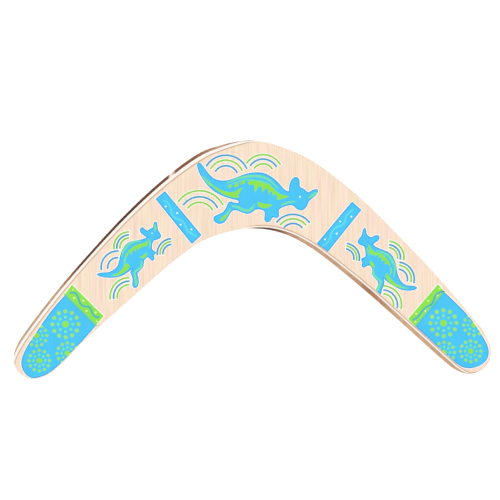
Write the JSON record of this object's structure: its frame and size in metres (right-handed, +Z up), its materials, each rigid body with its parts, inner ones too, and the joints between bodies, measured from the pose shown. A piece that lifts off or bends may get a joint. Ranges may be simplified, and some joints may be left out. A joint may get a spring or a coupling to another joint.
{
  "type": "returning toy boomerang",
  "caption": "Flat plywood boomerang with two rounded arms, a long sanded bevel on each trailing edge and blue and green animal, arc and flower prints on its upper face.",
  "frame": {"origin": "middle of the board's length and height, on the table that its back rests on", "axes": "+X along the span towards the right tip, +Y towards the elbow, +Z up through the plies to the printed face"},
  "size_m": [0.2998, 0.1484, 0.0051],
  "materials": {
    "face_veneer": "pale rotary-cut veneer, clear matt",
    "cross_ply": "pale cross-grain ply, sanded",
    "core_ply": "reddish-brown ply, sanded, cut edge only",
    "back_veneer": "pale veneer, bare",
    "blue_ink": "screen-printed ink, satin",
    "green_ink": "screen-printed ink, satin",
    "blue_line_ink": "screen-printed ink, satin",
    "green_line_ink": "screen-printed ink, satin",
    "white_ink": "white base ink under the print, satin",
    "yellow_ink": "screen-printed ink, satin"
  },
  "bodies": {
    "root": {"back_veneer": "back_veneer", "lower_cross_ply": "cross_ply", "core_ply": "core_ply", "upper_cross_ply": "cross_ply", "face_veneer": "face_veneer", "elbow_arcs_a_1": "blue_line_ink", "elbow_arcs_a_2": "green_line_ink", "elbow_arcs_a_3": "blue_line_ink", "elbow_arcs_b_1": "green_line_ink", "elbow_arcs_b_2": "blue_line_ink", "elbow_arcs_b_3": "green_line_ink", "elbow_arcs_c_1": "green_line_ink", "elbow_arcs_c_2": "blue_line_ink", "elbow_arcs_c_3": "green_line_ink", "elbow_arcs_d_1": "blue_line_ink", "elbow_arcs_d_2": "green_line_ink", "elbow_arcs_d_3": "blue_line_ink", "elbow_kangaroo": "blue_ink", "left_arcs_a_1": "green_line_ink", "left_arcs_a_2": "blue_line_ink", "left_arcs_a_3": "green_line_ink", "left_arcs_b_1": "blue_line_ink", "left_arcs_b_2": "blue_line_ink", "left_arcs_c_1": "blue_line_ink", "left_arcs_c_2": "green_line_ink", "left_arcs_c_3": "blue_line_ink", "left_arcs_d_1": "green_line_ink", "left_arcs_d_2": "blue_line_ink", "left_arcs_d_3": "green_line_ink", "left_arm_bar": "blue_ink", "left_kangaroo": "blue_ink", "left_tip_band": "green_ink", "left_tip_fill": "blue_ink", "right_arcs_a_1": "blue_line_ink", "right_arcs_a_2": "green_line_ink", "right_arcs_a_3": "blue_line_ink", "right_arcs_b_1": "green_line_ink", "right_arcs_b_2": "blue_line_ink", "right_arcs_b_3": "green_line_ink", "right_arcs_c_1": "blue_line_ink", "right_arcs_c_2": "green_line_ink", "right_arcs_c_3": "blue_line_ink", "right_arcs_d_1": "green_line_ink", "right_arcs_d_2": "blue_line_ink", "right_arcs_d_3": "green_line_ink", "right_arm_bar": "blue_ink", "right_kangaroo": "blue_ink", "right_tip_band": "green_ink", "right_tip_fill": "blue_ink"}
  },
  "joints": []
}
